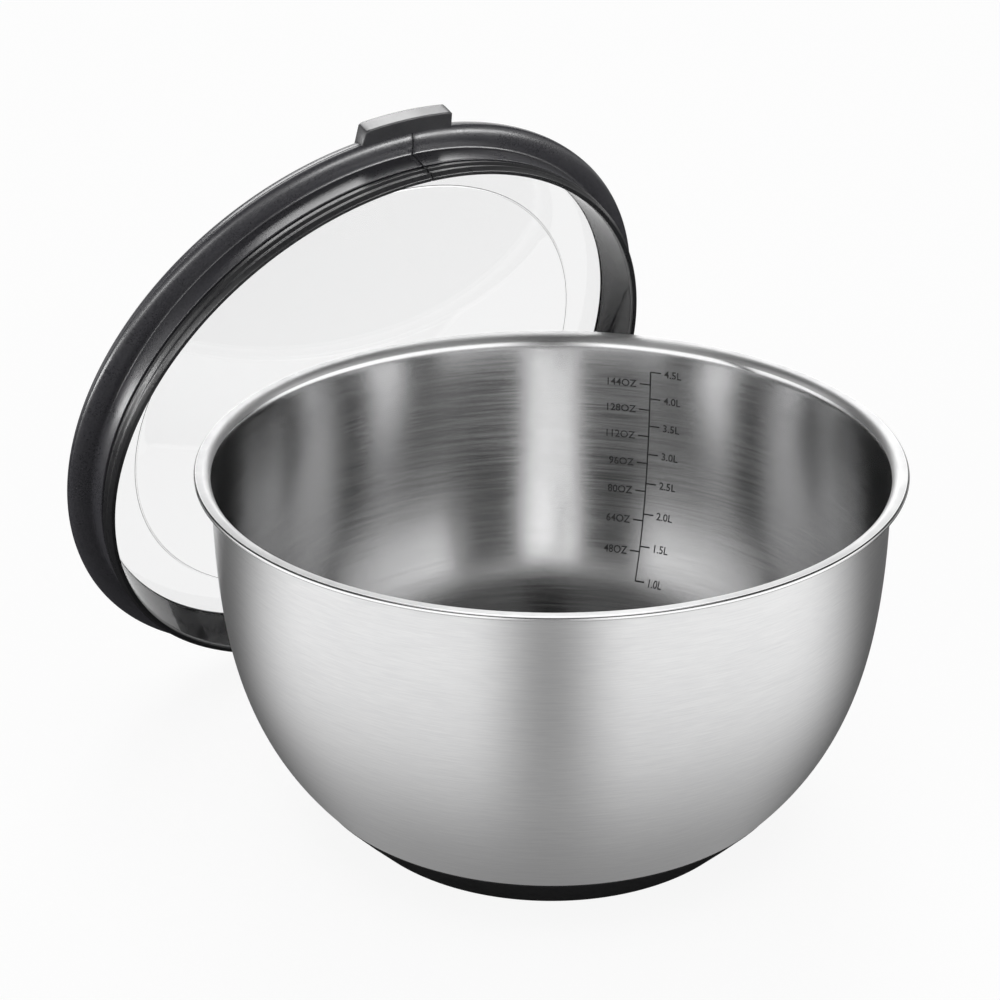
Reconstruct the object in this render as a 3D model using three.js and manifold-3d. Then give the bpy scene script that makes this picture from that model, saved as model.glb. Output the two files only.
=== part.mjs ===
// Lidded stainless-steel salad bowl: drawn steel bowl on a non-slip base, with a loose lid
// leaning on its rim. Millimetres, +Z up, origin at the middle of the base underside.
import * as THREE from 'three';
import { mergeVertices } from 'three/addons/utils/BufferGeometryUtils.js';
import Module from 'manifold-3d';

const wasm = await Module();
wasm.setup();

// ---- driving dimensions -------------------------------------------------------------
const SEGMENTS = 60;          // facets round every turned piece, same phase for all of them
const GAP = 0.3;              // clearance kept between pieces that touch

// bowl
const RIM_RADIUS = 125;       // outer edge of the flange
const BOWL_HEIGHT = 136.8;    // table to flange top
const SHEET = 0.8;            // steel thickness
const MOUTH_RADIUS = 118.4;   // inside of the straight upper wall
const BEND_WIDTH = 3.8;       // roll from the wall into the flange, inside face: a quarter ellipse
const BEND_DROP = 5.8;
const HEM_THICK = 1.8;        // folded outer edge of the flange
const HEM_INNER = 122.5;      // where the folded layer ends under the flange
const STEP_HEIGHT = 16.6;     // the wall steps in below this height to take the base
const FLOOR_RADIUS = 68;      // flat part of the bowl floor
const FLOOR_HEIGHT = 2.9;     // underside of the steel floor
const WALL_FOOT = 17.2;       // height where the curved wall starts above the step
const WALL_STRAIGHT = 120;    // above this height the wall is upright
const WALL_STEPS = 12;

// base
const BASE_FOOT = 74;         // radius where the side meets the table
const BASE_TOP_RADIUS = 89.4;
const BASE_TOP = 16.2;
const BASE_EDGE = 1.2;

// lid, in its own frame: Z is the lid's axis, seal side down, zero at the widest circle
const LID_RADIUS = 126.2;
const PANE_THICK = 2.1;
const PANE_UNDER = 2.1;       // underside of the flat border
const PANE_FLANGE = 120.8;    // outer edge of the pane
const DOME_RADIUS = 97;       // crease where the raised middle starts
const DOME_RISE = 8.8;
const PLUG_OUTER = 116.6;     // outside of the plug wall
const PLUG_INNER_TOP = 113.3;
const PLUG_INNER_END = 115.5;
const PLUG_DEPTH = 15.9;      // free end of the plug wall below zero
const SKIRT_RADIUS = 118.2;   // outside of the edge ring below its nose
const SKIRT_END = 10.5;
const LIP_DEPTH = 17.6;       // lowest edge of the seal
const JOINT_WIDTH = 0.4;      // butt joint in the edge ring and in the seal
const JOINT_OFFSET = -1.7;    // sideways from the middle of the tab
const TAB_WIDTH = 37;
const TAB_RADIUS = 132.2;
const TAB_LOW = -1;
const TAB_HIGH = 4.8;
const TONGUE_WIDTH = 9;
const TONGUE_RADIUS = 123.2;

// where the lid stands: lean from lying flat, turn about Z, middle of the widest circle
const LID_LEAN = 70;
const LID_TURN = -144.1;
const LID_SPIN = -2.2;        // about the lid's own axis, which brings the tab off the top
const LID_CENTRE = [-73.1, 95.7, 118.47];

// ---- helpers ------------------------------------------------------------------------
function toSolid(geometry) {
  geometry.deleteAttribute('normal');
  geometry.deleteAttribute('uv');
  const merged = mergeVertices(geometry, 1e-4);
  const vertProperties = Float32Array.from(merged.attributes.position.array);
  const triVerts = Uint32Array.from(merged.index.array);
  return new wasm.Manifold(new wasm.Mesh({ numProp: 3, vertProperties, triVerts }));
}

// body of revolution about Z from a profile of [radius, height], outer side first going up
function turned(profile) {
  const points = profile.map(([r, z]) => new THREE.Vector2(r, z));
  const onAxis = profile[0][0] === 0;
  if (!onAxis) points.push(points[0].clone());
  const geometry = new THREE.LatheGeometry(points, SEGMENTS);
  geometry.rotateX(Math.PI / 2);
  return toSolid(geometry);
}

function block(width, depth, height, x, y, z) {
  const geometry = new THREE.BoxGeometry(width, depth, height);
  geometry.translate(x, y, z);
  return toSolid(geometry);
}

// points on a quarter ellipse, from angle a0 to a1 in degrees
function arc(cx, cz, rx, rz, a0, a1, steps) {
  const points = [];
  for (let i = 0; i <= steps; i += 1) {
    const a = THREE.MathUtils.degToRad(a0 + (a1 - a0) * i / steps);
    points.push([cx + rx * Math.cos(a), cz + rz * Math.sin(a)]);
  }
  return points;
}

function toMesh(name, solid, colour, metalness, roughness) {
  const out = solid.getMesh();
  const geometry = new THREE.BufferGeometry();
  geometry.setAttribute('position', new THREE.BufferAttribute(Float32Array.from(out.vertProperties), 3));
  geometry.setIndex(new THREE.BufferAttribute(Uint32Array.from(out.triVerts), 1));
  geometry.computeVertexNormals();
  const material = new THREE.MeshStandardMaterial({ color: colour, metalness, roughness });
  const mesh = new THREE.Mesh(geometry, material);
  mesh.name = name;
  return mesh;
}

// ---- bowl ---------------------------------------------------------------------------
// outside radius of the wall: upright at the top, drawn in ever faster towards the foot
function wallRadius(height) {
  const t = (WALL_STRAIGHT - height) / (WALL_STRAIGHT - WALL_FOOT);
  return MOUTH_RADIUS + SHEET - 13.8 * t ** 2 - 15 * t ** 4;
}

// wall points from the foot up, moved inwards by the given depth
function wallProfile(depth) {
  const points = [];
  for (let i = 0; i <= WALL_STEPS; i += 1) {
    const z = WALL_FOOT + (WALL_STRAIGHT - WALL_FOOT) * i / WALL_STEPS;
    const slope = (wallRadius(z + 0.5) - wallRadius(z - 0.5));
    const run = Math.hypot(1, slope);
    points.push([wallRadius(z) - depth / run, z + depth * slope / run]);
  }
  return points;
}

function bowlShell() {
  const outer = [
    [0, FLOOR_HEIGHT],
    [FLOOR_RADIUS, FLOOR_HEIGHT],
    [FLOOR_RADIUS + 4.2, FLOOR_HEIGHT + 0.9],
    [FLOOR_RADIUS + 7.6, FLOOR_HEIGHT + 3.2],
    [81.4, 9.9],
    [86, STEP_HEIGHT - 1.2],
    [87.2, STEP_HEIGHT - 0.2],
    [89.4, STEP_HEIGHT],
    ...wallProfile(0),
  ];
  const under = BOWL_HEIGHT - SHEET;
  const bendCentre = MOUTH_RADIUS + BEND_WIDTH;
  const bendHeight = BOWL_HEIGHT - BEND_DROP;
  outer.push(...arc(bendCentre, bendHeight, SHEET - BEND_WIDTH, BEND_DROP - SHEET, 0, 90, 4));
  outer.push([HEM_INNER, under]);
  outer.push([HEM_INNER, BOWL_HEIGHT - HEM_THICK]);
  const half = HEM_THICK / 2;
  outer.push(...arc(RIM_RADIUS - half, BOWL_HEIGHT - half, half, half, -90, 90, 6));
  const inner = arc(bendCentre, bendHeight, -BEND_WIDTH, BEND_DROP, 90, 0, 5);
  inner.push(...wallProfile(SHEET).slice(1).reverse());
  inner.push([89.2, STEP_HEIGHT + 1.6]);
  inner.push([87, STEP_HEIGHT + 0.7]);
  inner.push([85.2, STEP_HEIGHT - 0.7]);
  inner.push([80.6, 10.3]);
  inner.push([FLOOR_RADIUS + 7, FLOOR_HEIGHT + 3.8]);
  inner.push([FLOOR_RADIUS + 3.8, FLOOR_HEIGHT + 1.7]);
  inner.push([FLOOR_RADIUS, FLOOR_HEIGHT + SHEET]);
  inner.push([0, FLOOR_HEIGHT + SHEET]);
  return toMesh('bowl_shell', turned([...outer, ...inner]), 0xb9bbbd, 1, 0.35);
}

function baseCap() {
  const profile = [
    [0, 0],
    [BASE_FOOT - BASE_EDGE, 0],
    [BASE_FOOT + 0.2, 0.5],
    [BASE_FOOT + 1.2, BASE_EDGE],
    [82.5, 8.2],
    [BASE_TOP_RADIUS, BASE_TOP - 0.6],
    [BASE_TOP_RADIUS - 0.4, BASE_TOP],
    [87.4, STEP_HEIGHT - 0.2 - GAP],
    [86.4, STEP_HEIGHT - 1.2 - GAP],
    [81.6, 9.5],
    [FLOOR_RADIUS + 7.8, FLOOR_HEIGHT + 2.9],
    [FLOOR_RADIUS + 4.3, FLOOR_HEIGHT + 0.6],
    [FLOOR_RADIUS, FLOOR_HEIGHT - GAP],
    [0, FLOOR_HEIGHT - GAP],
  ];
  return toMesh('base_cap', turned(profile), 0x2c2c2e, 0, 0.7);
}

// ---- lid ----------------------------------------------------------------------------
function domeHeight(r) {
  return PANE_UNDER + DOME_RISE * (1 - (r / DOME_RADIUS) ** 2);
}

function lidPane() {
  const radii = [16, 32, 48, 64, 80];
  const under = [[0, domeHeight(0)]];
  for (const r of radii) under.push([r, domeHeight(r)]);
  under.push([DOME_RADIUS, PANE_UNDER]);
  under.push([PLUG_INNER_TOP - 1, PANE_UNDER]);
  under.push([PLUG_INNER_TOP, PANE_UNDER - 1]);
  under.push([PLUG_INNER_END, -PLUG_DEPTH]);
  under.push([PLUG_OUTER, -PLUG_DEPTH]);
  under.push([PLUG_OUTER, PANE_UNDER]);
  under.push([PANE_FLANGE, PANE_UNDER]);
  under.push([PANE_FLANGE, PANE_UNDER + PANE_THICK]);
  const top = [[DOME_RADIUS, PANE_UNDER + PANE_THICK]];
  for (const r of [...radii].reverse()) top.push([r, domeHeight(r) + PANE_THICK]);
  top.push([0, domeHeight(0) + PANE_THICK]);
  return toMesh('lid_pane', turned([...under, ...top]), 0xeef2f3, 0, 0.05);
}

// convex outside of the edge ring, from its underside round the nose to its top, grown by g
function ringNose(g) {
  const low = arc(118.9, 0.3, LID_RADIUS - 118.9 + g, 3.4 + g, -90, 0, 6);
  const high = [[125.4 + g, 1.9], [124 + g, 3.1], [122.3 + g, 4.5 + g], [120.4 + g, 5.6 + g]];
  return [low, high];
}

function ringSolid() {
  const [low, high] = ringNose(0);
  const inner = PLUG_OUTER + GAP;
  const slotLow = PANE_UNDER - GAP;
  const slotHigh = PANE_UNDER + PANE_THICK + GAP;
  return turned([
    [inner, -SKIRT_END],
    [SKIRT_RADIUS - 0.4, -SKIRT_END],
    [SKIRT_RADIUS, -SKIRT_END + 0.4],
    [SKIRT_RADIUS, -3.2],
    ...low,
    ...high,
    [118.6, 5.9],
    [118.2, 5.5],
    [118.2, slotHigh],
    [PANE_FLANGE + GAP, slotHigh],
    [PANE_FLANGE + GAP, slotLow],
    [inner, slotLow],
  ]);
}

// the tab hugs the nose of the ring and bridges its joint with a tongue
function tabSolid(g) {
  const [low, high] = ringNose(GAP - g);
  const hug = [...low.slice(4), ...high.slice(0, 3)].reverse();
  const first = hug[0];
  const collar = turned([
    [TAB_RADIUS + g, TAB_LOW - g],
    [TAB_RADIUS + g, TAB_HIGH + g],
    [first[0], TAB_HIGH + g],
    ...hug.filter(([, z]) => z > TAB_LOW - g && z < TAB_HIGH + g),
    [LID_RADIUS - 0.7 + GAP - g, TAB_LOW - g],
  ]);
  const piece = collar.intersect(block(TAB_WIDTH + 2 * g, 30, 20, 0, 125, 0));
  const tongue = block(TONGUE_WIDTH + 2 * g, 128 - TONGUE_RADIUS + g, 2.4 + 2 * g, 0,
    (128 + TONGUE_RADIUS - g) / 2, 0.7);
  return piece.add(tongue);
}

function jointCut() {
  return block(JOINT_WIDTH, 30, 40, JOINT_OFFSET, 120, 0);
}

function lidEdgeRing() {
  const pocket = block(TONGUE_WIDTH + 2 * GAP, 128 - TONGUE_RADIUS + GAP, 2.4 + 2 * GAP, 0,
    (128 + TONGUE_RADIUS - GAP) / 2, 0.7);
  const ring = ringSolid().subtract(jointCut()).subtract(pocket);
  return toMesh('lid_edge_ring', ring, 0x333336, 0, 0.45);
}

function lidSeal() {
  const inner = PLUG_OUTER + GAP;
  const profile = [
    [inner, -PLUG_DEPTH - GAP],
    [PLUG_INNER_END + 0.1, -PLUG_DEPTH - GAP],
    [115.9, -LIP_DEPTH],
    [117.2, -LIP_DEPTH],
    [118.2, -16.8],
    [118.5, -16],
    [118.3, -15.2],
    [117.8, -14.6],
    [118, -13.8],
    [118.6, -13.2],
    [118.2, -12.6],
    [117.5, -12.3],
    [117.5, -SKIRT_END - GAP],
    [inner, -SKIRT_END - GAP],
  ];
  return toMesh('lid_seal', turned(profile).subtract(jointCut()), 0x29292b, 0, 0.4);
}

function gripTab() {
  return toMesh('grip_tab', tabSolid(0), 0x3a3a3d, 0, 0.5);
}

// ---- assembly -----------------------------------------------------------------------
const group = new THREE.Group();
group.name = 'lidded_salad_bowl';
group.add(bowlShell());
group.add(baseCap());

const lid = new THREE.Group();
lid.name = 'lid';
for (const piece of [lidPane(), lidEdgeRing(), lidSeal(), gripTab()]) lid.add(piece);
lid.rotation.set(THREE.MathUtils.degToRad(LID_LEAN), 0, THREE.MathUtils.degToRad(LID_TURN), 'ZYX');
lid.rotateZ(THREE.MathUtils.degToRad(LID_SPIN));
lid.position.set(...LID_CENTRE);
group.add(lid);

export default group;
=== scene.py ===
"""Looks of a lidded stainless-steel salad bowl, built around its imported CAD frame.

The bowl stands on a black non-slip base, and its clear lid leans on the rim from behind.
Outlines are in millimetres, as (radius, height) points; MM turns them into metres.
"""

import math

import bmesh
import bpy
from mathutils import Matrix, Vector


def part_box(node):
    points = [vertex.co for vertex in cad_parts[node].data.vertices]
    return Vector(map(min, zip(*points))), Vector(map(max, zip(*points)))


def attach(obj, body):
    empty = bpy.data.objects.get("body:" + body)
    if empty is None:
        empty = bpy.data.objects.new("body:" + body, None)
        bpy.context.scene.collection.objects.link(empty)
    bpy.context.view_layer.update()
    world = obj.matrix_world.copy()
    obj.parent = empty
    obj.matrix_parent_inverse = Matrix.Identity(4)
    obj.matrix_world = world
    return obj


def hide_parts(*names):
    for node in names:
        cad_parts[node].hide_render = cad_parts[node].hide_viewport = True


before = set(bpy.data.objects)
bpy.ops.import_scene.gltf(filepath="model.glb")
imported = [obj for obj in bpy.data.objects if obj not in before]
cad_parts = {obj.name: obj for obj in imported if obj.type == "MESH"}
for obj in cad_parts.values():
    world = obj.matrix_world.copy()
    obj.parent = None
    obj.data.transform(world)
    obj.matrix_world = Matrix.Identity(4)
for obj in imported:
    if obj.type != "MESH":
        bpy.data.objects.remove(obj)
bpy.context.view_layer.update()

MM = 0.001
SEGMENTS = 288                      # sections round every turned piece
FILLET_STEP = math.radians(15)      # most that a fillet turns between two points
SHARP_ANGLE = math.radians(50)      # edges sharper than this stay sharp in the shading
WELD = 1e-7                         # points closer than this, in metres, become one

# bowl, from its CAD node where that gives the size
RIM_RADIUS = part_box("bowl_shell")[1].x / MM
BOWL_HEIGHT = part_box("bowl_shell")[1].z / MM
SHEET = 0.8                 # thickness of the steel
MOUTH_RADIUS = 118.4        # inside the wall, where it is upright
BEND_WIDTH = 3.8            # the bend from the wall out to the flat rim
BEND_DROP = 5.8
HEM_THICK = 1.8             # the rim's edge, folded under
HEM_INNER = 122.6
STEP_HEIGHT = 16.6          # underside of the step above the base
FLOOR_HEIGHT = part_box("bowl_shell")[0].z / MM
WALL_FOOT = 17.2            # height where the curved wall begins
WALL_STRAIGHT = 120         # height where it becomes upright
WALL_DRAW = (13.8, 15)      # how far its foot is drawn in, by a square and by a fourth power
WALL_STEPS = 72
WALL_CROWD = 1.25           # above 1, the wall's points stand closer together near the foot
SATIN_BEND = 12             # steps of the rim's bend, from the flat inwards, that are brushed too

# base
BASE_TOP_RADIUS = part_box("base_cap")[1].x / MM
BASE_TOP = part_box("base_cap")[1].z / MM
BASE_FOOT = 75.2            # radius on the table

# lid, in its own frame: Z is the lid's axis, seal side down, zero at the widest circle
LID_RADIUS = 126.2
PANE_THICK = 2.1
PANE_UNDER = 2.1            # height of the pane's flat underside
PANE_EDGE = 120.8           # radius of its gripped flange
GRIP_INNER = 119            # radius where the ring's grip on the flange begins
DOME_RADIUS = 97
DOME_RISE = 8.8
DOME_STEPS = 24
PLUG_OUTER = 116.6
PLUG_DEPTH = 15.9
GAP = 0.3                   # left between neighbouring pieces, as in the CAD
NOSE_LOW = (118.9, 0.3, 7.3, 3.4)   # lower quarter of the ring's nose: its middle, width and height
NOSE_HIGH = (118.4, 0.7, 7.7, 5.3)  # upper quarter
NOSE_STEPS = 22
SKIRT_FOOT = -10.5
SEAL_TOP = -10.8
JOINT_WIDTH = 0.4
JOINT_OFFSET = -1.7         # along the edge, from the middle of the tab
JOINT_ENDS = ((0, 0.16), (0.07, 0.06), (0.18, 0))   # distance from a cut end, and how far it draws in there
TAB_WIDTH = 37
TAB_RADIUS = 132.2
TAB_BOTTOM = -1.0
TAB_TOP = 4.8
TAB_CORNER = 0.7
TAB_FLARE = 0.9             # how much wider the tab is at its foot than at its outer face
TAB_BULGE = 0.5             # how full its ends are at mid height
TAB_STEPS = 24
TAB_LEVELS = (              # height of each section, and how far its edges draw in there
    (TAB_BOTTOM, 1.0), (TAB_BOTTOM, 0.4), (-0.88, 0.12), (-0.6, 0), (-0.3, 0),
    (4.1, 0), (4.4, 0), (4.68, 0.12), (TAB_TOP, 0.4), (TAB_TOP, 1.0))

# where the lid stands, as in the CAD: lean from lying flat, turn about Z, spin on its own axis
LID_LEAN = math.radians(70)
LID_TURN = math.radians(-144.1)
LID_SPIN = math.radians(-2.2)
LID_CENTRE = Vector((-73.1, 95.7, 118.59)) * MM

# scale printed inside the bowl
SCALE_AZIMUTH = math.radians(70.5)
SCALE_LITRES = (1.0, 1.5, 2.0, 2.5, 3.0, 3.5, 4.0, 4.5)
SCALE_OUNCES = (48, 64, 80, 96, 112, 128, 144)
LITRES_PER_OUNCE = 0.02957
FILL_CURVE = (11.6, 27.6, 0.58)     # height of a mark: start, rise to the litre, and its falling off
PRINT_HEIGHT = 3.1
CAPITAL_SHARE = 0.73        # height of a numeral as a share of its font size
PRINT_STROKE = 0.55
PRINT_SWELL = 0.04          # added round each numeral, to match the lines
PRINT_THICK = 0.03
PRINT_LIFT = 0.02           # above the steel
PRINT_GAP = 1.3             # between a mark and its numeral
TICK_LENGTH = 4.4

# materials; grains and marks are scales of a noise, in ripples to the metre, and depths are in mm
STEEL_FINE = (130, 130, 3800)
STEEL_STROKES = (60, 60, 1300)
STEEL_CLOUDS = (9, 9, 26)
BUFF_MARKS = (30, 30, 1500)
BUFF_CLOUDS = (14, 14, 14)
WIPE_MARKS = (18, 60, 40)
SHADOW_TINT = (0.93, 0.94, 0.94, 1)     # light that the clear pane lets through
BLACK_GLOSS = 0.4                       # specular level of the black plastic and rubber
BLACKS = {                              # darkest and lightest colour, roughness, grain and its depth
    "base_black": ((0.008, 0.008, 0.0085, 1), (0.015, 0.015, 0.016, 1), 0.6, 1300, 0.03),
    "ring_black": ((0.011, 0.011, 0.0125, 1), (0.02, 0.0195, 0.022, 1), 0.3, 1500, 0.004),
    "seal_black": ((0.006, 0.006, 0.0065, 1), (0.007, 0.007, 0.0075, 1), 0.3, 900, 0),
    "tab_black": ((0.008, 0.008, 0.0088, 1), (0.015, 0.015, 0.0163, 1), 0.42, 1800, 0.006),
}

# camera
CAMERA_PLACE = Vector((0, -0.77514, 0.47319))
CAMERA_YAW = 0.023
CAMERA_PITCH = -0.4284
CAMERA_ROLL = 0.0051
CAMERA_LENS = 86.4          # on a 36 mm sensor

# studio; angles are degrees round the bowl from the camera's side, and distances are metres from its axis
TENT_STRENGTH = 1.43
TENT_GAP = (1, 21, 0.8)             # where the dark gap at the camera starts to lift and ends, and its depth
TENT_CORNER = (100, 130, 0.06)      # where the light sides start to darken and are dark, and how dark
TENT_BACK = (150, 172, 1.25)        # where the light back starts and is full, and its brightness
TENT_HOOD = (0.3, 0.5, 0.05)        # heights between which a dark hood starts above the camera, and how dark
TENT_TOP = (0.86, 0.97, 0.85)       # heights where it turns even overhead, and the brightness there
# the floor glow is a painted reflection of the lit floor, seen only by the bowl; its dark gap and dark
# corners are painted into it
GLOW_CORNER = (74, 114, 0.07)       # as TENT_CORNER, on the floor
GLOW_SPREAD = (0.12, 0.24, 28)      # distances over which the corners narrow, and degrees wider near the bowl
GLOW_PAINTED_SHADE = (0.08, 0.33, 0.2)       # painted shade of the bowl's shadow on the floor: distances where the glow starts to grow and is full, and its first share
GLOW_GAP = (0.10, 0.28)             # distances between which the dark gap comes in
GLOW_RADIUS = 1.5
GLOW_LIFT = 0.0003                  # above the table, in metres
FLOOR_RADIUS = 14
FLOOR_DROP = -0.0002                # below the table, so that the two don't coincide
FLOOR_TONE = (0.15, 0.15, 0.15, 1)
FLOOR_LIGHT = 0.9                   # its own light; its tone takes the rest, and the faint shadows
CARD_SIDES = 96                     # sides of the round floor and of its glow
SOFTBOX_AIM = (-0.1, 0.05, 0.15)
SOFTBOXES = {                       # place, size in metres and watts
    "overhead": ((-0.3, 0.7, 1.5), (1.8, 1.0), 80),
    "left": ((-1.3, -0.45, 0.12), (1.4, 0.2), 26),
    "right": ((1.3, -0.55, 0.22), (1.2, 0.3), 30),
    "front": ((-0.2, -1.7, 0.2), (1.4, 0.25), 20),
}


# ---- outlines -----------------------------------------------------------------------
def arc(centre_r, centre_z, radius_r, radius_z, start, end, steps):
    """Points on an ellipse round (centre_r, centre_z), from start to end degrees."""
    points = []
    for i in range(steps + 1):
        a = math.radians(start + (end - start) * i / steps)
        points.append((centre_r + radius_r * math.cos(a), centre_z + radius_z * math.sin(a)))
    return points


def rounded(corners):
    """An outline with its corners filleted. A corner is (r, z) or (r, z, fillet radius)."""
    points = []
    for i, corner in enumerate(corners):
        here = Vector(corner[:2])
        if len(corner) < 3:
            points.append(tuple(here))
            continue
        before = Vector(corners[i - 1][:2]) - here
        after = Vector(corners[(i + 1) % len(corners)][:2]) - here
        half = before.angle(after) / 2
        radius = min(corner[2], 0.49 * min(before.length, after.length) * math.tan(half))
        centre = here + (before.normalized() + after.normalized()).normalized() * radius / math.sin(half)
        first = here + before.normalized() * radius / math.tan(half) - centre
        last = here + after.normalized() * radius / math.tan(half) - centre
        turn = first.angle_signed(last)
        steps = max(2, math.ceil(abs(turn) / FILLET_STEP))
        for k in range(steps + 1):
            spoke = Matrix.Rotation(-turn * k / steps, 2) @ first
            points.append(tuple(centre + spoke))
    return points


def inset(outline, depth):
    """The closed outline moved inwards by depth, for the rounded ends of a cut ring."""
    area = sum(a[0] * b[1] - b[0] * a[1] for a, b in zip(outline, outline[1:] + outline[:1]))
    side = -1 if area < 0 else 1
    moved = []
    for i, point in enumerate(outline):
        along = Vector(outline[(i + 1) % len(outline)]) - Vector(outline[i - 1])
        inwards = Vector((-along.y, along.x)).normalized() * side
        moved.append(tuple(Vector(point) + inwards * depth))
    return moved


# ---- meshes -------------------------------------------------------------------------
def finish_mesh(name, bm, materials):
    """An object with smooth shading and these materials, made from bm, which is used up."""
    bmesh.ops.remove_doubles(bm, verts=bm.verts, dist=WELD)
    bmesh.ops.recalc_face_normals(bm, faces=bm.faces)
    mesh = bpy.data.meshes.new(name)
    bm.to_mesh(mesh)
    bm.free()
    mesh.shade_smooth()
    mesh.set_sharp_from_angle(angle=SHARP_ANGLE)
    for material in materials:
        mesh.materials.append(material)
    piece = bpy.data.objects.new(name, mesh)
    bpy.context.scene.collection.objects.link(piece)
    return piece


def skin(name, sections, materials, closed=True, looped=True, finishes=None):
    """Faces between sections of equal length. closed joins the last section to the first, or
    else both ends are capped; looped joins each section's last point to its first, and finishes
    gives each edge's material."""
    bm = bmesh.new()
    rings = [[bm.verts.new(point) for point in section] for section in sections]
    count = len(rings[0])
    edges = count if looped else count - 1
    pairs = list(zip(rings, rings[1:]))
    if closed:
        pairs.append((rings[-1], rings[0]))
    for a, b in pairs:
        for i in range(edges):
            k = (i + 1) % count
            face = bm.faces.new((a[i], b[i], b[k], a[k]))
            face.material_index = finishes[i] if finishes else 0
    if not closed:
        bm.faces.new(rings[0])
        bm.faces.new(reversed(rings[-1]))
    return finish_mesh(name, bm, materials)


def section_at(outline, angle):
    """The outline as points in metres, turned about the Z axis by an angle."""
    return [(r * math.cos(angle) * MM, r * math.sin(angle) * MM, z * MM) for r, z in outline]


def turned(name, outline, materials, finishes=None):
    """A body of revolution. An outline that starts and ends on the axis isn't looped."""
    sections = [section_at(outline, math.tau * i / SEGMENTS) for i in range(SEGMENTS)]
    return skin(name, sections, materials, looped=outline[0][0] > 0, finishes=finishes)


def cut_ring(name, outline, material):
    """A turned ring with the butt joint in it, its two ends slightly rounded."""
    middle = math.pi / 2 - JOINT_OFFSET / LID_RADIUS
    reach = math.tau - JOINT_WIDTH / LID_RADIUS
    start = middle + JOINT_WIDTH / LID_RADIUS / 2
    sections = []
    for along, depth in JOINT_ENDS:
        sections.append(section_at(inset(outline, depth), start + along / LID_RADIUS))
    for i in range(1, SEGMENTS):
        sections.append(section_at(outline, start + reach * i / SEGMENTS))
    for along, depth in reversed(JOINT_ENDS):
        sections.append(section_at(inset(outline, depth), start + reach - along / LID_RADIUS))
    return skin(name, sections, [material], closed=False)


# ---- materials ----------------------------------------------------------------------
def new_material(name, **values):
    """A Principled material with these socket values, and its nodes for adding detail."""
    material = bpy.data.materials.new(name)
    material.use_nodes = True
    shader = material.node_tree.nodes["Principled BSDF"]
    for socket, value in values.items():
        shader.inputs[socket.replace("_", " ")].default_value = value
    return material, shader


class Nodes:
    """Short ways to add the few kinds of node that the materials and the world use."""

    def __init__(self, tree):
        self.tree = tree

    def add(self, kind, **settings):
        node = self.tree.nodes.new(kind)
        for key, value in settings.items():
            setattr(node, key, value)
        return node

    def link(self, source, target):
        self.tree.links.new(source, target)

    def feed(self, socket, value):
        if isinstance(value, bpy.types.NodeSocket):
            self.link(value, socket)
        else:
            socket.default_value = value

    def maths(self, operation, *values):
        node = self.add("ShaderNodeMath", operation=operation)
        for socket, value in zip(node.inputs, values):
            self.feed(socket, value)
        return node.outputs[0]

    def ramp(self, value, low, high, to_low, to_high):
        node = self.add("ShaderNodeMapRange", interpolation_type="SMOOTHSTEP")
        for socket, item in zip(node.inputs, (value, low, high, to_low, to_high)):
            self.feed(socket, item)
        return node.outputs[0]

    def mix(self, factor, a, b):
        node = self.add("ShaderNodeMix", data_type="RGBA")
        self.feed(node.inputs[0], factor)
        self.feed(node.inputs[6], a)
        self.feed(node.inputs[7], b)
        return node.outputs[2]

    def object_place(self, scale=(1, 1, 1)):
        place = self.add("ShaderNodeTexCoord").outputs["Object"]
        node = self.add("ShaderNodeMapping")
        node.inputs["Scale"].default_value = scale
        self.link(place, node.inputs["Vector"])
        return node.outputs[0]

    def noise(self, place, scale, detail=2, roughness=0.5, distortion=0):
        node = self.add("ShaderNodeTexNoise")
        self.link(place, node.inputs["Vector"])
        node.inputs["Scale"].default_value = scale
        node.inputs["Detail"].default_value = detail
        node.inputs["Roughness"].default_value = roughness
        node.inputs["Distortion"].default_value = distortion
        return node.outputs["Fac"]

    def bump(self, shader, height, depth, strength):
        node = self.add("ShaderNodeBump")
        node.inputs["Strength"].default_value = strength
        node.inputs["Distance"].default_value = depth * MM
        self.link(height, node.inputs["Height"])
        self.link(node.outputs[0], shader.inputs["Normal"])

    def round_tangent(self, shader):
        node = self.add("ShaderNodeTangent", direction_type="RADIAL", axis="Z")
        self.link(node.outputs[0], shader.inputs["Tangent"])


def brushed_steel():
    """Satin steel whose fine scratches run level round the bowl, in slightly wavy strokes."""
    material, shader = new_material("brushed_steel", Metallic=1, Anisotropic=0.8, Anisotropic_Rotation=0.25)
    n = Nodes(material.node_tree)
    n.round_tangent(shader)
    fine = n.noise(n.object_place(STEEL_FINE), 1, detail=3, roughness=0.65)
    strokes = n.noise(n.object_place(STEEL_STROKES), 1, detail=4, roughness=0.7, distortion=0.25)
    clouds = n.noise(n.object_place(STEEL_CLOUDS), 1, detail=2)
    scratch = n.maths("ADD", n.maths("MULTIPLY", fine, 0.55), n.maths("MULTIPLY", strokes, 0.45))
    tone = n.maths("ADD", n.maths("MULTIPLY", scratch, 0.8), n.maths("MULTIPLY", clouds, 0.2))
    colour = n.mix(n.ramp(tone, 0.35, 0.65, 0, 1), (0.645, 0.645, 0.65, 1), (0.715, 0.715, 0.715, 1))
    n.link(colour, shader.inputs["Base Color"])
    n.link(n.ramp(scratch, 0.3, 0.7, 0.42, 0.38), shader.inputs["Roughness"])
    n.bump(shader, scratch, 0.006, 0.5)
    return material


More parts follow.
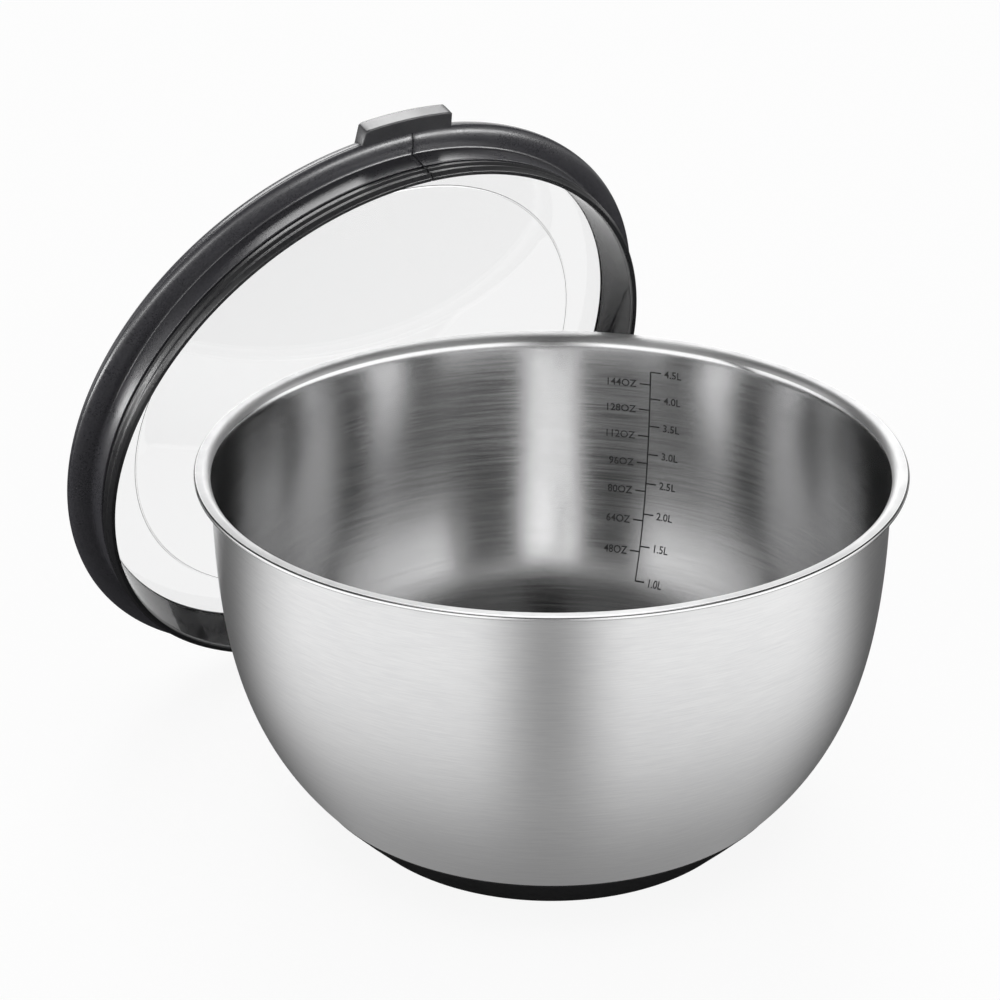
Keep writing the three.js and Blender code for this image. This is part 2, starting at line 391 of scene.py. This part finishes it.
def polished_steel():
    """Buffed steel of the rim and the inside: nearly a mirror, with faint level buffing marks."""
    material, shader = new_material("polished_steel", Metallic=1, Anisotropic=0.6, Anisotropic_Rotation=0.25)
    n = Nodes(material.node_tree)
    n.round_tangent(shader)
    marks = n.noise(n.object_place(BUFF_MARKS), 1, detail=3, roughness=0.6)
    clouds = n.noise(n.object_place(BUFF_CLOUDS), 1, detail=2)
    colour = n.mix(clouds, (0.74, 0.74, 0.745, 1), (0.8, 0.8, 0.8, 1))
    n.link(colour, shader.inputs["Base Color"])
    n.link(n.ramp(marks, 0.3, 0.7, 0.14, 0.2), shader.inputs["Roughness"])
    n.bump(shader, marks, 0.002, 0.3)
    return material


def soft_black(name):
    """Black rubber or plastic from BLACKS: a fine moulded grain, and slightly uneven gloss."""
    dark, light, roughness, grain, depth = BLACKS[name]
    material, shader = new_material(name, Specular_IOR_Level=BLACK_GLOSS)
    n = Nodes(material.node_tree)
    place = n.object_place()
    speckle = n.noise(place, grain, detail=3, roughness=0.6)
    clouds = n.noise(place, 60, detail=3)
    n.link(n.mix(n.ramp(speckle, 0.3, 0.7, 0, 1), dark, light), shader.inputs["Base Color"])
    uneven = n.maths("ADD", n.maths("MULTIPLY", speckle, 0.5), n.maths("MULTIPLY", clouds, 0.5))
    n.link(n.ramp(uneven, 0.3, 0.7, roughness - 0.05, roughness + 0.07), shader.inputs["Roughness"])
    n.bump(shader, speckle, depth, 0.6)
    return material


def clear_plastic():
    """Clear moulded plastic with a faint cool tint and faint wipe marks in its gloss."""
    material, shader = new_material(
        "clear_plastic", Base_Color=(0.975, 0.976, 0.977, 1), Transmission_Weight=1, IOR=1.49)
    n = Nodes(material.node_tree)
    wipes = n.noise(n.object_place(WIPE_MARKS), 1, detail=3)
    n.link(n.ramp(wipes, 0.35, 0.7, 0.0, 0.035), shader.inputs["Roughness"])
    output = material.node_tree.nodes["Material Output"]
    lets_light_by = n.add("ShaderNodeBsdfTransparent")
    lets_light_by.inputs["Color"].default_value = SHADOW_TINT
    shadow_mix = n.add("ShaderNodeMixShader")
    n.link(n.add("ShaderNodeLightPath").outputs["Is Shadow Ray"], shadow_mix.inputs[0])
    n.link(shader.outputs[0], shadow_mix.inputs[1])
    n.link(lets_light_by.outputs[0], shadow_mix.inputs[2])
    n.link(shadow_mix.outputs[0], output.inputs["Surface"])
    return material


def print_ink():
    """Dark grey etched marks, a little uneven where the ink is thin."""
    material, shader = new_material("print_ink", Roughness=0.55)
    n = Nodes(material.node_tree)
    thin = n.noise(n.object_place(), 900, detail=2)
    colour = n.mix(n.ramp(thin, 0.3, 0.7, 0, 1), (0.035, 0.035, 0.036, 1), (0.07, 0.07, 0.072, 1))
    n.link(colour, shader.inputs["Base Color"])
    return material


# ---- bowl ---------------------------------------------------------------------------
def wall_radius(height):
    """Outside radius of the wall: upright at the top, drawn in ever faster to the foot."""
    t = max(0, (WALL_STRAIGHT - height) / (WALL_STRAIGHT - WALL_FOOT))
    gentle, steep = WALL_DRAW
    return MOUTH_RADIUS + SHEET - gentle * t ** 2 - steep * t ** 4


def inner_radius(height):
    """Inside radius of the wall, one sheet's thickness in from its slope."""
    slope = wall_radius(height + 0.5) - wall_radius(height - 0.5)
    return wall_radius(height) - SHEET * math.hypot(1, slope)


def wall_heights(lowest):
    """Heights up the curved wall, closer together towards the foot where it curves most."""
    span = WALL_STRAIGHT - lowest
    return [lowest + span * (i / WALL_STEPS) ** WALL_CROWD for i in range(WALL_STEPS + 1)]


def bowl(outside, inside):
    """The drawn bowl: brushed outside and on the flat rim, polished round the hem and inside."""
    under = BOWL_HEIGHT - SHEET
    bend_r = MOUTH_RADIUS + BEND_WIDTH
    bend_z = BOWL_HEIGHT - BEND_DROP
    half = HEM_THICK / 2
    foot = rounded([
        (0, FLOOR_HEIGHT), (69.5, FLOOR_HEIGHT, 9), (76, 6.1, 9), (85.9, 15.7, 1.2),
        (88.4, STEP_HEIGHT - 0.1, 1), (90.1, STEP_HEIGHT + 0.1, 0.35), (91, 17.9)])[:-1]
    wall = [(wall_radius(z), z) for z in wall_heights(WALL_FOOT + 0.5)]
    outer_bend = arc(bend_r, bend_z, SHEET - BEND_WIDTH, BEND_DROP - SHEET, 0, 90, 10)
    hem_fold = rounded([(HEM_INNER, under), (HEM_INNER, BOWL_HEIGHT - HEM_THICK, 0.3),
                        (RIM_RADIUS - half, BOWL_HEIGHT - HEM_THICK)])
    brushed = foot + wall + outer_bend + hem_fold[:-1]
    hem = arc(RIM_RADIUS - half, BOWL_HEIGHT - half, half, half, -90, 90, 16)
    inner_bend = arc(bend_r, bend_z, -BEND_WIDTH, BEND_DROP, 90, 0, 18)
    inner_wall = [(inner_radius(z), z) for z in reversed(wall_heights(WALL_FOOT + 3))]
    dish = rounded([
        (91.2, 19.9), (89.3, 18.1, 1.5), (86.3, 17.2, 2), (76.3, 7.2, 9),
        (69.2, FLOOR_HEIGHT + SHEET, 9), (0, FLOOR_HEIGHT + SHEET)])[1:]
    polished = hem + inner_bend + inner_wall + dish
    finishes = [0] * len(brushed) + [1] * len(polished)
    flange = len(brushed) + len(hem) - 1
    finishes[flange:flange + SATIN_BEND] = [0] * SATIN_BEND
    piece = turned("bowl_steel", brushed + polished, [outside, inside], finishes)
    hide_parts("bowl_shell")
    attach(piece, "bowl")
    return piece


def base(rubber):
    """The non-slip base: a shallow cup pressed up under the step."""
    outline = rounded([
        (0, 0), (BASE_FOOT - 0.6, 0, 1.3), (82.5, 8.2, 30), (BASE_TOP_RADIUS, 15.7, 0.5),
        (BASE_TOP_RADIUS - 0.3, BASE_TOP, 0.3), (87.4, 16.1), (86.4, 15.1), (81.6, 9.5),
        (75.8, 5.8), (72.3, 3.5), (68, FLOOR_HEIGHT - GAP), (0, FLOOR_HEIGHT - GAP)])
    piece = turned("base_rubber", outline, [rubber])
    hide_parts("base_cap")
    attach(piece, "bowl")
    return piece


# ---- printed scale ------------------------------------------------------------------
def fill_height(litres):
    """Height of the mark for a volume: the bowl widens upwards, so marks close up."""
    start, rise, falling_off = FILL_CURVE
    return start + rise * litres - falling_off * litres ** 2


def on_wall(x, z, lift):
    """A point of the flat drawing, x to the right seen from the middle, laid on the wall."""
    radius = inner_radius(z) - PRINT_LIFT - lift
    angle = SCALE_AZIMUTH - x / MOUTH_RADIUS
    return (radius * math.cos(angle) * MM, radius * math.sin(angle) * MM, z * MM)


def bar(bm, start, end, width, steps):
    """A printed line from start to end, level or upright, as a thin closed strip."""
    upright = start[0] == end[0]
    rings = []
    for i in range(steps + 1):
        t = i / steps
        x = start[0] + (end[0] - start[0]) * t
        z = start[1] + (end[1] - start[1]) * t
        across = width / 2 if upright else 0
        up = 0 if upright else width / 2
        corners = ((x - across, z - up, 0), (x + across, z + up, 0),
                   (x + across, z + up, PRINT_THICK), (x - across, z - up, PRINT_THICK))
        rings.append([bm.verts.new(on_wall(*corner)) for corner in corners])
    for a, b in zip(rings, rings[1:]):
        for i in range(4):
            k = (i + 1) % 4
            bm.faces.new((a[i], b[i], b[k], a[k]))
    bm.faces.new(rings[0])
    bm.faces.new(reversed(rings[-1]))


def lettering(bm, text, x, z, align):
    """Numerals laid on the wall, with their left or right end at x and centred on height z."""
    curve = bpy.data.curves.new("numerals", "FONT")
    curve.body = text
    curve.size = PRINT_HEIGHT / CAPITAL_SHARE
    curve.align_x = align
    curve.extrude = PRINT_THICK / 2
    curve.offset = PRINT_SWELL
    curve.resolution_u = 3
    maker = bpy.data.objects.new("numerals", curve)
    bpy.context.scene.collection.objects.link(maker)
    flat = bpy.data.meshes.new_from_object(maker.evaluated_get(bpy.context.evaluated_depsgraph_get()))
    for vertex in flat.vertices:
        height = z - PRINT_HEIGHT / 2 + vertex.co.y
        vertex.co = on_wall(x + vertex.co.x, height, PRINT_THICK / 2 + vertex.co.z)
    bm.from_mesh(flat)
    bpy.data.objects.remove(maker)
    bpy.data.curves.remove(curve)
    bpy.data.meshes.remove(flat)


def printed_scale(ink):
    """Litres on the right and ounces on the left of one upright line."""
    bm = bmesh.new()
    low = fill_height(SCALE_LITRES[0])
    high = fill_height(SCALE_LITRES[-1])
    bar(bm, (0, low), (0, high), PRINT_STROKE, 60)
    for litres in SCALE_LITRES:
        z = fill_height(litres)
        bar(bm, (0, z), (TICK_LENGTH, z), PRINT_STROKE, 4)
        lettering(bm, f"{litres:.1f}L", TICK_LENGTH + PRINT_GAP, z, "LEFT")
    for ounces in SCALE_OUNCES:
        z = fill_height(ounces * LITRES_PER_OUNCE)
        bar(bm, (-TICK_LENGTH, z), (0, z), PRINT_STROKE, 4)
        lettering(bm, f"{ounces}OZ", -TICK_LENGTH - PRINT_GAP, z, "RIGHT")
    piece = finish_mesh("printed_scale", bm, [ink])
    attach(piece, "bowl")
    return piece


# ---- lid ----------------------------------------------------------------------------
def dome_height(radius):
    """Underside of the pane: flat border, and a low dome inside the crease."""
    t = min(1, radius / DOME_RADIUS)
    return PANE_UNDER + DOME_RISE * (1 - t ** 2)


def ring_nose():
    """Convex outside of the edge ring: from its underside to the nose, and on to its top."""
    return arc(*NOSE_LOW, -90, -2, NOSE_STEPS), arc(*NOSE_HIGH, 2, 88, NOSE_STEPS)


def lid_pane(clear, black):
    """The pane with its flat border, and the clear plug wall whose gripped face shows black."""
    radii = [DOME_RADIUS * i / DOME_STEPS for i in range(DOME_STEPS)]
    top = PANE_UNDER + PANE_THICK
    under = [(r, dome_height(r)) for r in radii]
    inside = rounded([(DOME_RADIUS, PANE_UNDER), (113.3, PANE_UNDER, 0.9), (115.5, -PLUG_DEPTH, 0.4),
                      (PLUG_OUTER, -PLUG_DEPTH, 0.4), (PLUG_OUTER, PANE_UNDER)])[:-1]
    gripped = rounded([(PLUG_OUTER, -PLUG_DEPTH), (PLUG_OUTER, PANE_UNDER), (PANE_EDGE, PANE_UNDER, 0.3),
                       (PANE_EDGE, top, 0.3), (GRIP_INNER, top)])[1:-1]
    outside = [(GRIP_INNER, top), (DOME_RADIUS + 0.9, top)]
    outside += arc(DOME_RADIUS + 0.4, top, 0.35, 0.22, 15, 165, 8)      # a fine bead round the crease
    outside += [(r, dome_height(r) + PANE_THICK) for r in reversed(radii)]
    seen = under + inside
    finishes = [0] * (len(seen) - 1) + [1] * (len(gripped) + 1) + [0] * len(outside)
    return turned("lid_pane_clear", seen + gripped + outside, [clear, black], finishes)


def edge_ring(plastic):
    """The ring that grips the pane's edge: rounded nose outside, cylindrical skirt inside."""
    low, high = ring_nose()
    inner = PLUG_OUTER + GAP
    slot_low = PANE_UNDER - GAP
    slot_high = PANE_UNDER + PANE_THICK + GAP
    skirt = rounded([
        (inner, slot_low), (inner, SKIRT_FOOT, 0.2), (118.2, SKIRT_FOOT, 0.35), (118.15, -3.5, 0.5),
        (118.6, -3.25, 0.2), low[0]])[1:-1]
    parting = [(126.15, 0.35), (125.95, 0.5), (126.15, 0.65)]
    slot = [(118.2, 5.7), (118.2, slot_high), (121.1, slot_high), (121.1, slot_low), (inner, slot_low)]
    return cut_ring("lid_edge_ring_black", skirt + low + parting + high + slot, plastic)


def seal(rubber):
    """The lip seal on the plug wall: two soft ridges and a lip curled round the wall's end."""
    inner = PLUG_OUTER + GAP
    outline = rounded([
        (inner, SEAL_TOP), (inner, -16.2), (115.6, -16.2, 0.2), (115.9, -17.6, 0.45),
        (117.4, -17.6, 0.5), (118.6, -15.9, 0.45), (117.8, -14.55, 0.5), (118.75, -13.1, 0.45),
        (117.5, -12.1, 0.5), (117.5, SEAL_TOP, 0.2)])
    return cut_ring("lid_seal_rubber", outline, rubber)


def nose_radius(level):
    """Outside radius of the ring's nose at a level of the lid's frame."""
    low, high = ring_nose()
    return min(low + high, key=lambda point: abs(point[1] - level))[0]


def curved_edge(radius, half_width):
    """Points on a circle about the lid's axis, from one side of the tab to the other."""
    reach = math.asin(half_width / radius)
    angles = [reach * (2 * i / TAB_STEPS - 1) for i in range(TAB_STEPS + 1)]
    return [(radius * math.sin(a), radius * math.cos(a)) for a in angles]


def edge_corners(radius, half_width):
    """The two points at half_width on a circle about the lid's axis."""
    y = math.sqrt(radius ** 2 - half_width ** 2)
    return (-half_width, y), (half_width, y)


def grip_tab(plastic):
    """The lifting tab: a shallow block curved like the ring, its ends flared and full."""
    sections = []
    for level, draw_in in TAB_LEVELS:
        bulge = TAB_BULGE * math.sin(math.pi * (level - TAB_BOTTOM) / (TAB_TOP - TAB_BOTTOM))
        hug = nose_radius(level) + GAP / 2 + max(0, draw_in - 0.4)
        outside = TAB_RADIUS - draw_in
        foot = TAB_WIDTH / 2 - draw_in + 0.2 + bulge
        head = foot - TAB_FLARE
        left, right = edge_corners(outside - TAB_CORNER, head + 0.25)
        outline = curved_edge(hug, foot) + [right]
        outline += list(reversed(curved_edge(outside, head - TAB_CORNER))) + [left]
        sections.append([(x * MM, y * MM, level * MM) for x, y in outline])
    return skin("lid_grip_tab", sections, [plastic], closed=False)


def lid():
    """The lid's four pieces where they stand, and a collection of the black ones."""
    stand = (Matrix.Translation(LID_CENTRE) @ Matrix.Rotation(LID_TURN, 4, "Z")
             @ Matrix.Rotation(LID_LEAN, 4, "X") @ Matrix.Rotation(LID_SPIN, 4, "Z"))
    ring_black = soft_black("ring_black")
    pieces = (
        (lid_pane(clear_plastic(), ring_black), "lid_pane", "clear"),
        (edge_ring(ring_black), "lid_edge_ring", "ring"),
        (seal(soft_black("seal_black")), "lid_seal", "seal"),
        (grip_tab(soft_black("tab_black")), "grip_tab", "tab"),
    )
    black_pieces = bpy.data.collections.new("black_pieces")
    for piece, node, slot in pieces:
        piece.data.transform(stand)
        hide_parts(node)
        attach(piece, "lid")
        if slot != "clear":
            black_pieces.objects.link(piece)
    return black_pieces


# ---- studio -------------------------------------------------------------------------
def floor():
    """A white sweep, lit so evenly that hardly any shadow shows on it."""
    bm = bmesh.new()
    bmesh.ops.create_circle(bm, cap_ends=True, radius=FLOOR_RADIUS, segments=CARD_SIDES)
    bmesh.ops.translate(bm, verts=bm.verts, vec=(0, 0, FLOOR_DROP))
    material = new_material(
        "floor_white", Base_Color=FLOOR_TONE, Roughness=1, Specular_IOR_Level=0,
        Emission_Color=(1, 1, 1, 1), Emission_Strength=FLOOR_LIGHT)[0]
    finish_mesh("floor", bm, [material])


def angle_from_camera(n, x, y):
    """Degrees round the bowl from the camera's side, the same to the left and to the right."""
    return n.maths("DEGREES", n.maths("ARCTAN2", n.maths("ABSOLUTE", x), n.maths("MULTIPLY", y, -1)))


def studio_tent():
    """The world: a soft white tent with a gap and a dark hood at the camera, dark corners
    and a light back."""
    world = bpy.data.worlds.new("studio")
    world.use_nodes = True
    bpy.context.scene.world = world
    n = Nodes(world.node_tree)
    background = world.node_tree.nodes["Background"]
    parts = n.add("ShaderNodeSeparateXYZ")
    n.link(n.add("ShaderNodeTexCoord").outputs["Generated"], parts.inputs[0])
    x, y, z = parts.outputs
    angle = angle_from_camera(n, x, y)
    start, end, depth = TENT_GAP
    gap = n.ramp(angle, start, end, 1 - depth, 1)
    start, end, dark = TENT_CORNER
    sides = n.ramp(angle, start, end, 1, dark)
    start, end, bright = TENT_BACK
    back = n.ramp(angle, start, end, 0, bright)
    start, end, dark = TENT_HOOD
    hood = n.ramp(z, start, end, 1, dark)
    near_side = n.maths("MULTIPLY", n.maths("MULTIPLY", gap, sides), hood)
    round_about = n.maths("ADD", near_side, back)
    start, end, top = TENT_TOP
    even = n.ramp(z, start, end, 0, 1)
    n.link(n.mix(even, round_about, (top, top, top, 1)), background.inputs["Color"])
    background.inputs["Strength"].default_value = TENT_STRENGTH


def floor_glow(lit):
    """A glowing card for what the shiny bowl sees of the floor: a painted reflection of the tent's light on
    it, with painted shade near the bowl where the bowl's shadow falls. Nothing else sees it."""
    bm = bmesh.new()
    bmesh.ops.create_circle(bm, cap_ends=True, radius=GLOW_RADIUS, segments=CARD_SIDES)
    bmesh.ops.translate(bm, verts=bm.verts, vec=(0, 0, GLOW_LIFT))
    material = bpy.data.materials.new("floor_glow")
    material.use_nodes = True
    material.node_tree.nodes.clear()
    n = Nodes(material.node_tree)
    parts = n.add("ShaderNodeSeparateXYZ")
    n.link(n.add("ShaderNodeTexCoord").outputs["Object"], parts.inputs[0])
    x, y = parts.outputs[:2]
    angle = angle_from_camera(n, x, y)
    away = n.maths("SQRT", n.maths("ADD", n.maths("MULTIPLY", x, x), n.maths("MULTIPLY", y, y)))
    start, end, depth = TENT_GAP
    gap = n.maths("MULTIPLY", n.ramp(angle, start, end, depth, 0), n.ramp(away, *GLOW_GAP, 0, 1))
    start, end, wider = GLOW_SPREAD
    spread = n.maths("ADD", angle, n.ramp(away, start, end, wider, 0))
    start, end, dark = GLOW_CORNER
    sides = n.ramp(spread, start, end, 1, dark)
    # painted shade: the glow dims near the bowl, standing in for the bowl's shadow on the floor
    start, end, dim = GLOW_PAINTED_SHADE
    near = n.ramp(away, start, end, dim * TENT_STRENGTH, TENT_STRENGTH)
    glow = n.add("ShaderNodeEmission")
    strength = n.maths("MULTIPLY", n.maths("MULTIPLY", n.maths("SUBTRACT", 1.0, gap), sides), near)
    n.link(strength, glow.inputs["Strength"])
    n.link(glow.outputs[0], n.add("ShaderNodeOutputMaterial").inputs["Surface"])
    card = finish_mesh("floor_glow", bm, [material])
    for way in ("camera", "diffuse", "transmission", "volume_scatter", "shadow"):
        setattr(card, "visible_" + way, False)
    card.light_linking.receiver_collection = lit


def softbox(name, place, size, power, lit):
    """An area light that lights only the pieces of the lit collection."""
    lamp = bpy.data.lights.new(name, "AREA")
    lamp.shape = "RECTANGLE"
    lamp.size, lamp.size_y = size
    lamp.energy = power
    holder = bpy.data.objects.new(name, lamp)
    holder.location = place
    holder.rotation_euler = (Vector(SOFTBOX_AIM) - Vector(place)).to_track_quat("-Z", "Y").to_euler()
    holder.light_linking.receiver_collection = lit
    holder.visible_camera = False
    bpy.context.scene.collection.objects.link(holder)


def camera():
    """The camera at the viewing angle; the yaw, pitch and roll start from looking along +Y."""
    lens = bpy.data.cameras.new("camera")
    lens.lens = CAMERA_LENS
    holder = bpy.data.objects.new("camera", lens)
    upright = Matrix.Rotation(math.pi / 2, 4, "X")
    holder.matrix_world = (Matrix.Translation(CAMERA_PLACE) @ Matrix.Rotation(CAMERA_YAW, 4, "Z")
                           @ Matrix.Rotation(CAMERA_PITCH, 4, "X") @ Matrix.Rotation(CAMERA_ROLL, 4, "Y")
                           @ upright)
    bpy.context.scene.collection.objects.link(holder)
    bpy.context.scene.camera = holder


camera()
bowl_pieces = bpy.data.collections.new("bowl_pieces")
bowl_pieces.objects.link(bowl(brushed_steel(), polished_steel()))
base(soft_black("base_black"))
printed_scale(print_ink())
black_pieces = lid()
floor()
studio_tent()
floor_glow(bowl_pieces)
for name, (place, size, power) in SOFTBOXES.items():
    softbox(name, place, size, power, black_pieces)
bpy.context.scene.view_settings.view_transform = "Standard"
